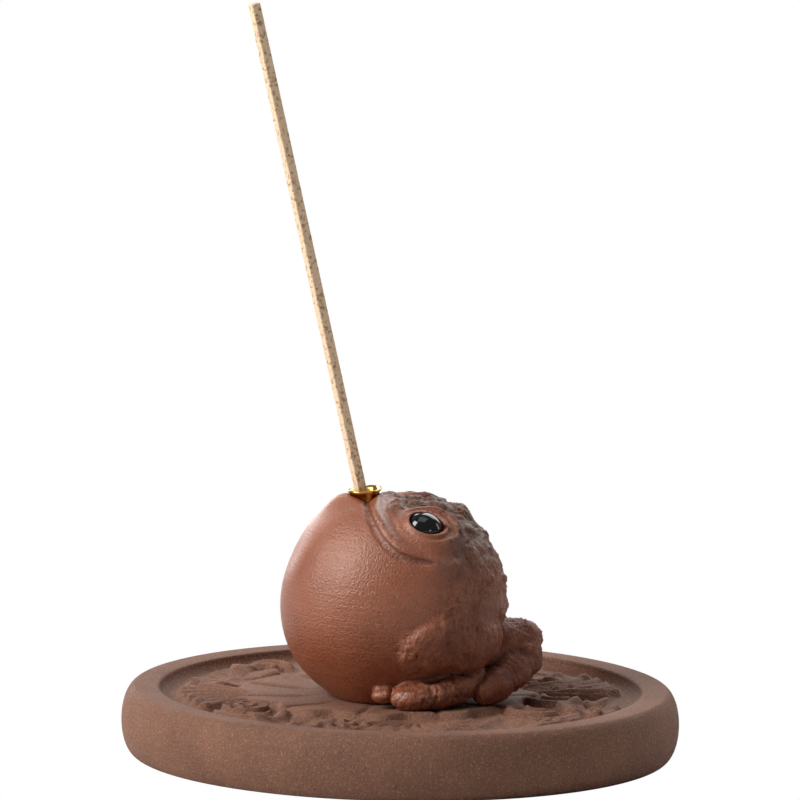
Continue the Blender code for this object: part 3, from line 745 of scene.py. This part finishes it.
relief = {
    # a lotus pond; places are across and back from the middle, then sizes, turns in degrees and heights
    "middle": (-3, 0, 29, 25, 1.2),
    "waves": (
        (31, -1, 9.5, 140, 340), (27, -15, 8, 120, 330), (36, 9.5, 8.5, 120, 330),
        (25, 16, 8.5, 130, 340), (15, 27.5, 8, 160, 370), (-27, 27, 8.5, 10, 220),
        (-13, -33, 7.5, 190, 390), (12, -30.5, 7, 190, 390), (-27.5, -24.5, 7.5, 180, 390),
        (-38.5, -13, 7, 100, 300),
    ),
    "sheaves": (
        (-25, -5, 184, 21, 46, 7, 1.8), (-6, 28, 112, 15.5, 44, 6, 1.7),
        (20, 4.5, 24, 25, 30, 6, 1.9), (3, -28, 262, 15, 52, 7, 1.6),
    ),
    "leaves": (
        (-33, 17, 10, 20, 8, 1.4), (9, 36.5, 8, 250, 7, 1.3), (31, 27.5, 10, 160, 8, 1.5),
        (-21, -32, 8, 200, 7, 1.4), (20.5, -34, 7.5, 300, 7, 1.3), (38, -11, 7, 110, 7, 1.5),
    ),
    "buds": (
        (11, -38.5, 4.4, 15), (33, -22.5, 4.4, 60), (-34.5, -25, 4.2, 120), (-4, -40, 4.2, 170),
        (41, 15, 4.2, 80), (-42, 6, 4, 80), (-15, 40, 4.4, 20), (22.5, 37.5, 4, 140),
    ),
    "pods": (
        (-30.5, -17, 4.8, 1.8), (-10.5, -36.5, 4.6, 1.6), (29.5, -29, 4.4, 1.6), (-1.5, 36, 4.4, 1.5),
    ),
    "podPits": 7, "budRise": 1.45, "waveRise": 1.7, "reach": 44.6, "limit": 2.2,
}


def layOver(height, mask, top):
    # a carved shape laid over what is already there, which still shows through a little
    return height * (1 - mask) + (top + 0.25 * height) * mask


def carveWave(height, x, y, wobble, size, start, end):
    # nested ripples that rise slowly outwards and drop steeply
    reach = np.hypot(x, y) + 0.35 * wobble
    turn = np.mod(np.degrees(np.arctan2(y, x)) - start, 360.0)
    ends = smoothStep(0, 25, turn) * fadeOut(end - start - 25.0, end - start, turn)
    saw = np.mod(reach / (size / 2.3), 1.0)
    crest = smoothStep(-0.1, 0.66, saw) * fadeOut(0.70, 1, saw)
    mask = fadeOut(0.9, 1.03, reach / size) * ends
    return layOver(height, mask, 0.1 + relief["waveRise"] * crest)


def carveSheaf(height, x, y, wobble, turn, length, spread, ribs, rise):
    # a fan of rounded ribs from one root
    reach = np.hypot(x, y)
    angle = np.mod(np.degrees(np.arctan2(y, x)) - turn + 180.0, 360.0) - 180.0
    angle += 14.0 * np.sin(reach / length * 3.0) - 7.0
    rib = np.cos(np.radians((angle + 0.8 * wobble) / spread * 90.0 * ribs)) ** 2
    share = reach / (length * (1 - 0.16 * (angle / spread) ** 2 + 0.07 * (rib - 0.5)))
    crown = smoothStep(0, 0.35, share) * (0.75 + 0.25 * share)
    mask = fadeOut(0.95, 1.03, share) * fadeOut(0.92, 1.02, np.abs(angle) / spread)
    mask *= smoothStep(0.05, 0.16, share)
    return layOver(height, mask, rise * crown * (0.5 + 0.5 * np.sqrt(rib)))


def carveLeaf(height, x, y, wobble, size, turn, lobes, rise):
    # a round leaf with a ruffled, lifted edge, veins, and a slit from the middle to the edge
    reach = np.hypot(x, y)
    angle = np.arctan2(y, x) - math.radians(turn)
    ruffle = np.sin(lobes * angle + 1.2 * wobble)
    share = reach / (size * (1 + 0.06 * ruffle))
    vein = np.abs(np.sin(lobes * angle / 2.0)) * reach * 2.0 / lobes
    top = 0.32 + 0.68 * smoothStep(0.35, 0.93, share) + 0.30 * ruffle * smoothStep(0.45, 0.95, share)
    top -= 0.22 * bell(vein, 0.42) * smoothStep(0.12, 0.3, share)
    top += 0.45 * bell(share, 0.13)
    slit = np.where(np.cos(angle) > 0, np.abs(np.sin(angle)) * reach, 9.0)
    top -= 0.5 * bell(slit, 0.6) * smoothStep(0.1, 0.3, share)
    return layOver(height, fadeOut(0.95, 1.05, share), rise * top)


def carveBud(height, x, y, wobble, size, turn):
    # a pointed bud with a keel between two petals
    turn = math.radians(turn)
    along = (x * math.cos(turn) + y * math.sin(turn)) / size
    across = (-x * math.sin(turn) + y * math.cos(turn)) / size
    width = 0.52 * np.sqrt(np.clip(1 - along, 0, 1)) * np.clip(1 + along, 0, 1) ** 0.35 + 0.01
    share = np.abs(across) / width
    top = np.sqrt(np.clip(1 - share ** 2, 0, 1)) - 0.28 * bell(share - 0.42, 0.12)
    mask = fadeOut(0.85, 1.05, share) * fadeOut(0.97, 1, np.abs(along))
    return layOver(height, mask, relief["budRise"] * top)


def carveMiddle(height, x, y, wobble, wide, deep, rise):
    # the broad leaf that the toad sits on, which covers all that is under it
    angle = np.arctan2(y / deep, x / wide)
    wave = 0.05 * np.sin(11.0 * angle + 0.7) + 0.02 * np.sin(23.0 * angle)
    share = np.hypot(x / wide, y / deep) / (1 + wave)
    vein = np.abs(np.sin(5.5 * angle + 0.2)) * share * wide / 5.5
    top = rise * (1 + 0.34 * smoothStep(0.62, 0.97, share))
    top -= 0.5 * bell(vein, 0.75) * smoothStep(0.42, 0.7, share)
    return layOver(height, fadeOut(0.955, 1.02, share), top - 0.25 * height)


def carvePod(height, x, y, wobble, size, rise):
    # a seed pod: a flat dome with one pit in the middle and a ring of them round it
    pits = relief["podPits"]
    reach = np.hypot(x, y)
    ring = np.mod(np.arctan2(y, x) / (2 * math.pi) * pits, 1.0) - 0.5
    pit = np.minimum(np.hypot(ring * 2 * math.pi / pits * reach, reach - 0.62 * size), reach)
    top = 0.86 + 0.14 * np.sqrt(np.clip(1 - (reach / size) ** 2, 0, 1))
    top -= 0.55 * fadeOut(0.16 * size, 0.27 * size, pit)
    return layOver(height, fadeOut(0.92, 1.06, reach / size), rise * top)


def reliefHeight(x, y):
    # carved floor: height over the well's floor in millimetres, built up motif by motif
    wobble = softNoise(np.stack([x, y, np.zeros_like(x)], axis=1), 5.0, 5)
    height = 0.12 + 0.1 * wobble
    motifs = (
        (carveWave, relief["waves"]), (carveSheaf, relief["sheaves"]), (carveLeaf, relief["leaves"]),
        (carveBud, relief["buds"]), (carveMiddle, (relief["middle"],)), (carvePod, relief["pods"]),
    )
    for carve, places in motifs:
        for across, back, *sizes in places:
            height = carve(height, x - across, y - back, wobble, *sizes)
    edge = fadeOut(relief["reach"] - 1.6, relief["reach"], np.hypot(x, y) + 0.5 * wobble)
    return np.minimum(height, relief["limit"]) * edge


def dishProfile():
    # half section: the carved floor, the cove up to the rim, the rim, the bulging wall, the foot ring
    # and the recess under the middle
    wall = dish["radius"] - dish["bulge"]
    rimInner = wall - dish["rim"]
    well = rimInner - dish["cove"]
    footInner = wall - dish["foot"]
    top = dish["height"] - dish["rimFall"]
    recess = dish["recess"]
    floor = np.concatenate([np.linspace(1, 14, 8), np.linspace(14.4, well, 82)])
    cove = np.radians(np.linspace(-90, 0, 9)[1:])
    outside = np.radians(np.linspace(90, -90, 33))
    under = np.linspace(footInner - 0.5 * recess, 2.0, 6)
    radius, height = joinSections(
        (floor, np.full(len(floor), dish["height"] - dish["well"])),
        (well + dish["cove"] * np.cos(cove), top + (dish["well"] - dish["rimFall"]) * np.sin(cove)),
        ([rimInner + 0.3 * dish["cove"]], [dish["height"] - 0.4 * dish["rimFall"]]),
        (wall + dish["bulge"] * np.cos(outside), dish["height"] / 2 * (1 + np.sin(outside))),
        ([footInner + 2.0, footInner, footInner - 0.25 * recess], [0.0, 0.0, 0.5 * recess]),
        (under, np.full(len(under), recess)),
    )
    return radius, height, len(floor)


def makeDish(material):
    radius, height, floorRows = dishProfile()
    points = turned(radius, height, dish["columns"])
    floor = points[:floorRows]
    floor[:, :, 2] += reliefHeight(floor[:, :, 0].ravel(), floor[:, :, 1].ravel()).reshape(floor.shape[:2])
    points = withEnds(points, height[0] + 0.9, dish["recess"]) * millimetre
    faces = gridFaces(len(radius), dish["columns"])
    makePiece("dish_clay_body", points, faces, material, "dish")


def makeEye(name, side, material):
    # an oval bead: a ball stretched along the eye's three axes
    rows, columns = 40, 64
    lift = (np.arange(rows) + 0.5) / rows * math.pi
    unit = withEnds(turned(np.sin(lift), np.cos(lift), columns), 1.0, -1.0)
    centre, axes = eyePlace()
    points = unit * np.array((eye["length"], eye["height"], eye["depth"])) / 2 @ axes + centre
    faces = gridFaces(rows, columns)
    if side < 0:
        points[:, 1] *= -1.0
        faces = [face[::-1] for face in faces]
    makePiece(name + "_bead", toWorld(points), faces, material, name)


def makeCup(material):
    # a turned cup with a flared lip that is a little uneven
    bore, outer = cupSizes()
    top = cup["proud"]
    bottom = -cup["depth"] - cup["wall"]
    half = cup["lip"] / 2
    roll = np.radians(np.linspace(90, -90, 9))
    radius, height = joinSections(
        ([0.6 * bore, bore, bore, bore, bore], [-cup["depth"], -cup["depth"], -6.0, -3.5, top - 2.0]),
        (bore + cup["flare"] * np.linspace(0.1, 0.9, 6) ** 2, top - 1.6 + 1.5 * np.linspace(0.1, 0.97, 6)),
        (outer + cup["flare"] - half + half * np.cos(roll), top - half + half * np.sin(roll)),
        (outer + cup["flare"] * np.linspace(0.75, 0.0, 6) ** 1.5,
         top - cup["lip"] - cup["flare"] * np.linspace(0.1, 1.3, 6)),
        ([outer, outer, 0.6 * outer], [-3.0, bottom, bottom]),
    )
    columns = 96
    points = turned(radius, height, columns)
    angle = ringAngles(columns)
    uneven = 0.10 * np.sin(2 * angle + 0.6) + 0.06 * np.sin(5 * angle + 2.0)
    lift = smoothStep(-1.6, 0.3, height)[:, None] * uneven[None]
    points[:, :, 2] += lift * 0.8
    points = toWorld(moved(withEnds(points, -cup["depth"], bottom), mouthFrame()))
    faces = gridFaces(len(radius), columns)
    makePiece("mouth_cup_lip", points, faces, material, "mouth_cup")


def makeStick(material):
    # a rounded square carried along the stick's length, roughened by noise
    side, length = stick["side"], stick["length"]
    rows, columns = 320, 64
    angle = ringAngles(columns)
    power = 9.0
    square = (np.abs(np.cos(angle)) ** power + np.abs(np.sin(angle)) ** power) ** (-1.0 / power)
    across = np.stack([square * np.cos(angle), square * np.sin(angle)], axis=1) * side / 2
    ends = np.array((0.02, 0.08, 0.2))
    run = np.concatenate([ends, np.linspace(0.4, length - 0.4, rows - 6), length - ends[::-1]])
    taper = np.ones(rows)
    taper[:3] = (0.86, 0.94, 0.99)
    taper[-3:] = (0.99, 0.94, 0.86)
    points = np.empty((rows, columns, 3))
    points[:, :, :2] = across[None] * taper[:, None, None]
    points[:, :, 2] = run[:, None]
    flat = points.reshape(-1, 3)
    grain = 0.5 * softNoise(flat, 0.45, 81) + 0.5 * softNoise(flat, 1.3, 83)
    inward = flat[:, :2] / np.maximum(lengths(flat[:, :2]), 1e-6)[:, None]
    flat[:, :2] -= inward * (0.03 + 0.03 * grain)[:, None]
    # its foot stands on the cup's floor, and it leans against the lip
    lean = math.radians(stick["lean"] - cup["lean"])
    footRise = side * math.sqrt(0.5) * math.sin(lean) + 0.3
    footShift = 0.25 * cup["depth"] * math.tan(lean)
    place = mouthFrame() @ Matrix.Translation((footShift, 0.0, footRise - cup["depth"]))
    place = place @ Matrix.Rotation(-lean, 4, "Y") @ Matrix.Rotation(math.radians(stick["roll"]), 4, "Z")
    faces = [face[::-1] for face in gridFaces(rows, columns)]
    points = toWorld(moved(withEnds(flat, 0.0, length), place))
    makePiece("incense_stick_body", points, faces, material, "incense_stick")


# Materials

# Patterns as cells to the millimetre, mottle and grit with their detail; sand and grit are drawn as
# coarse as the picture can show. The depth of the bump is in millimetres.
grains = {
    "toad": {"mottle": (0.12, 5.0), "grit": (2.5, 3.0), "sand": 2.6, "streaks": (0.06, 0.06, 1.5),
             "streakShare": 0.6, "depth": 0.2},
    "dish": {"mottle": (0.09, 6.0), "grit": (2.7, 2.0), "sand": 0.9, "streaks": (0.025, 0.025, 1.4),
             "streakShare": 0.5, "depth": 0.25},
    "incense": (1.4, 4.0),
}


def mixColours(tree, base, layers):
    # each colour covers the base by up to its share, as its source goes from the start to the end
    for source, start, end, share, colour in layers:
        limits = {"Value": source, "From Min": start, "From Max": end, "To Max": share}
        cover = addNode(tree, "MapRange", limits).outputs["Result"]
        inputs = {0: cover, 6: base, 7: linear(colour)}
        base = addNode(tree, "Mix", inputs, data_type="RGBA").outputs[2]
    return base


def newClay(name, grain):
    # a clay's material, with fine streaks drawn out round it and grit as its bump, and the patterns
    # that its colours follow
    material, tree, shader = newMaterial(name)
    place = addNode(tree, "TexCoord").outputs["Object"]
    noises = []
    for cells, detail in (grain["mottle"], grain["grit"]):
        pattern = {"Vector": place, "Scale": cells / millimetre, "Detail": detail}
        noises.append(addNode(tree, "TexNoise", pattern).outputs["Fac"])
    mottle, grit = noises
    sand = addNode(tree, "TexVoronoi", {"Vector": place, "Scale": grain["sand"] / millimetre})
    scale = [cells / millimetre for cells in grain["streaks"]]
    drawn = addNode(tree, "Mapping", {"Vector": place, "Scale": scale}).outputs["Vector"]
    streaks = addNode(tree, "TexNoise", {"Vector": drawn, "Scale": 1.0, "Detail": 2.0})
    inputs = {0: streaks.outputs["Fac"], 1: grain["streakShare"], 2: grit}
    height = addNode(tree, "Math", inputs, operation="MULTIPLY_ADD").outputs[0]
    bump = {"Height": height, "Strength": 1.0, "Distance": grain["depth"] * millimetre}
    tree.links.new(addNode(tree, "Bump", bump).outputs["Normal"], shader.inputs["Normal"])
    return material, tree, shader, place, mottle, grit, sand.outputs["Distance"]


def toadClay():
    # burnished red-brown stoneware: a satin belly of warm clay, browner where the skin is warty, with
    # painted shade in the pits, creases and the mouth's groove, paler on the worn tops, and fine sand that
    # breaks up the shine
    material, tree, shader, place, mottle, grit, sand = newClay("burnished red stoneware", grains["toad"])
    rough = addNode(tree, "Attribute", attribute_name="rough").outputs["Fac"]
    rise = addNode(tree, "Attribute", attribute_name="rise").outputs["Fac"]
    height = addNode(tree, "SeparateXYZ", {"Vector": place}).outputs["Z"]
    belly = addNode(tree, "ValToRGB", {"Fac": mottle})
    setRamp(belly, (0.3, "#8c492c"), (0.7, "#9b5636"))
    back = addNode(tree, "ValToRGB", {"Fac": mottle})
    setRamp(back, (0.3, "#7a4430"), (0.7, "#965b42"))
    # darker towards the top of the head, from 37 to 46 mm over the table
    warty = mixColours(tree, back.outputs["Color"], ((height, 0.037, 0.046, 0.85, "#472d22"),))
    inputs = {0: rough, 6: belly.outputs["Color"], 7: warty}
    base = addNode(tree, "Mix", inputs, data_type="RGBA").outputs[2]
    # painted shade: the clay is darker where the skin sinks below its form, in pits, creases and the
    # mouth's groove; the worn tops are paler
    base = mixColours(tree, base, (
        (rise, 0.0, -0.2, 0.7, "#38190f"), (rise, 0.06, 0.22, 0.22, "#a8765f"),
        (sand, 0.28, 0.1, 0.3, "#c98d70"), (grit, 0.5, 0.3, 0.55, "#5a2f20"),
    ))
    tree.links.new(base, shader.inputs["Base Color"])
    for name, smooth, warts in (("Roughness", 0.41, 0.46), ("Specular IOR Level", 0.5, 0.2)):
        level = addNode(tree, "MapRange", {"Value": rough, "To Min": smooth, "To Max": warts})
        tree.links.new(level.outputs["Result"], shader.inputs[name])
    setShader(shader, IOR=1.75, Specular_Tint=(1.0, 0.92, 0.84, 1.0))
    return material


def dishClay():
    # unglazed grey-brown stoneware: matte, with pale sand grains and faint turning lines round the wall
    material, tree, shader, place, mottle, grit, sand = newClay("sandy brown stoneware", grains["dish"])
    tone = addNode(tree, "ValToRGB", {"Fac": mottle})
    setRamp(tone, (0.3, "#734c39"), (0.7, "#845943"))
    base = mixColours(tree, tone.outputs["Color"], (
        (grit, 0.5, 0.32, 0.4, "#4a3226"), (grit, 0.55, 0.74, 0.5, "#b08a70"),
        (sand, 0.12, 0.05, 0.35, "#c9a58a"),
    ))
    tree.links.new(base, shader.inputs["Base Color"])
    setShader(shader, Roughness=0.78, IOR=1.5)
    return material


def eyeGlass():
    # black glass beads, which mirror the lamps as small sharp spots
    material, tree, shader = newMaterial("black bead glass")
    shader.inputs["Base Color"].default_value = linear("#070a09")
    setShader(shader, Roughness=0.04, IOR=1.52)
    return material


def cupBrass():
    # turned and polished brass: a yellow mirror, a little blurred
    material, tree, shader = newMaterial("polished brass")
    shader.inputs["Base Color"].default_value = linear("#d0a258")
    setShader(shader, Roughness=0.2, Metallic=1.0)
    return material


def incensePowder():
    # pressed powder of bark and wood: matte and pale, with darker grains
    material, tree, shader = newMaterial("pressed incense powder")
    place = addNode(tree, "TexCoord").outputs["Object"]
    cells, detail = grains["incense"]
    grain = addNode(tree, "TexNoise", {"Vector": place, "Scale": cells / millimetre, "Detail": detail})
    powder = addNode(tree, "ValToRGB", {"Fac": grain.outputs["Fac"]})
    setRamp(powder, (0.33, "#a88465"), (0.48, "#f0d0ac"))
    tree.links.new(powder.outputs["Color"], shader.inputs["Base Color"])
    setShader(shader, Roughness=0.85)
    return material


# Camera, lights and floor

view = {
    "elevation": 9.6, "roll": 0.9, "pixelsPerMillimetre": 5.07,
    "origin": (399.7, 754.3),
    "distance": 7.0,    # a long lens; from much farther off, other views would clip the object
    "picture": 800, "sensor": 36.0, "farthest": 20.0,
}


def makeCamera():
    # looks along +Y from a little above; the dish's foot falls on the origin's pixel
    lift, roll = math.radians(view["elevation"]), math.radians(view["roll"])
    ahead = Vector((0.0, math.cos(lift), -math.sin(lift)))
    level = Vector((1.0, 0.0, 0.0))
    raised = level.cross(ahead)
    right = level * math.cos(roll) + raised * math.sin(roll)
    up = raised * math.cos(roll) - level * math.sin(roll)
    pixel = millimetre / view["pixelsPerMillimetre"]
    half = view["picture"] / 2
    middle = right * ((half - view["origin"][0]) * pixel) + up * ((view["origin"][1] - half) * pixel)
    data = bpy.data.cameras.new("camera")
    camera = addObject("camera", data)
    place = Matrix((right, up, -ahead)).transposed().to_4x4()
    place.translation = middle - ahead * view["distance"]
    camera.matrix_world = place
    data.sensor_width = view["sensor"]
    data.lens = data.sensor_width * view["distance"] / (view["picture"] * pixel)
    data.clip_end = view["farthest"]
    bpy.context.scene.camera = camera


lights = {
    # degrees round to the left of the camera, height in degrees, width and height in metres, power in watts
    "softbox": (70, 36, 0.6, 0.7, 17.5),
    "front": (50, 15, 0.3, 0.35, 0.15),
    "overhead": (25, 80, 0.9, 0.9, 3),
    "rimRight": (-156, 36, 0.95, 0.9, 8.5),
    "rimLeft": (162, 14, 0.4, 0.6, 4.5),
    "catch": (-36, 3, 0.12, 0.12, 0.45),
    "sideRight": (-98, 18, 0.3, 0.6, 1.3),
}

lampDistance = 1.3              # metres from the middle of the dish
worldLevels = (0.022, 0.22)     # the world's strength to dull surfaces and to shiny ones


def makeLights():
    # lamps stand on a ball round the toad; the world is white to the camera and dim to the object
    for name, (turn, lift, width, height, power) in lights.items():
        data = bpy.data.lights.new(name, "AREA")
        data.shape = "RECTANGLE"
        data.size = width
        data.size_y = height
        data.energy = power
        lamp = addObject(name, data)
        turn, lift = math.radians(turn), math.radians(lift)
        ray = Vector((-math.sin(turn) * math.cos(lift), -math.cos(turn) * math.cos(lift), math.sin(lift)))
        lamp.location = ray * lampDistance
        lamp.rotation_euler = (Vector((0.0, 0.0, 0.03)) - lamp.location).to_track_quat("-Z", "Y").to_euler()
    world = bpy.data.worlds.new("studio")
    bpy.context.scene.world = world
    world.use_nodes = True
    tree = world.node_tree
    back = tree.nodes["Background"]
    back.inputs["Color"].default_value = (1.0, 1.0, 1.0, 1.0)
    rays = addNode(tree, "LightPath").outputs
    dim = {"Value": rays["Is Glossy Ray"], "To Min": worldLevels[0], "To Max": worldLevels[1]}
    dim = addNode(tree, "MapRange", dim).outputs["Result"]
    seen = {0: rays["Is Camera Ray"], 1: rays["Is Transmission Ray"]}
    seen = addNode(tree, "Math", seen, operation="MAXIMUM").outputs[0]
    level = addNode(tree, "Mix", {0: seen, 2: dim, 3: 1.0}, data_type="FLOAT")
    tree.links.new(level.outputs[0], back.inputs["Strength"])


def makeFloor():
    # a pale floor that shows white to the camera
    size, level = 2.5, -0.0002
    corners = [(-size, -size, level), (size, -size, level), (size, size, level), (-size, size, level)]
    mesh = bpy.data.meshes.new("floor")
    mesh.from_pydata(corners, [], [(0, 1, 2, 3)])
    floor = addObject("floor", mesh)
    material, tree, shader = newMaterial("white paper")
    shader.inputs["Base Color"].default_value = (0.8, 0.8, 0.8, 1.0)
    setShader(shader, Roughness=0.9)
    glow = addNode(tree, "Emission", {"Color": (1.0, 1.0, 1.0, 1.0), "Strength": 1.0})
    seen = addNode(tree, "LightPath").outputs["Is Camera Ray"]
    mix = addNode(tree, "MixShader", {"Fac": seen, 1: shader.outputs[0], 2: glow.outputs[0]})
    tree.links.new(mix.outputs[0], tree.nodes["Material Output"].inputs["Surface"])
    mesh.materials.append(material)


makeCamera()
makeLights()
makeFloor()
makeToad(toadClay())
makeDish(dishClay())
glass = eyeGlass()
makeEye("eye_left", 1, glass)
makeEye("eye_right", -1, glass)
makeCup(cupBrass())
makeStick(incensePowder())

bpy.context.scene.view_settings.view_transform = "Standard"
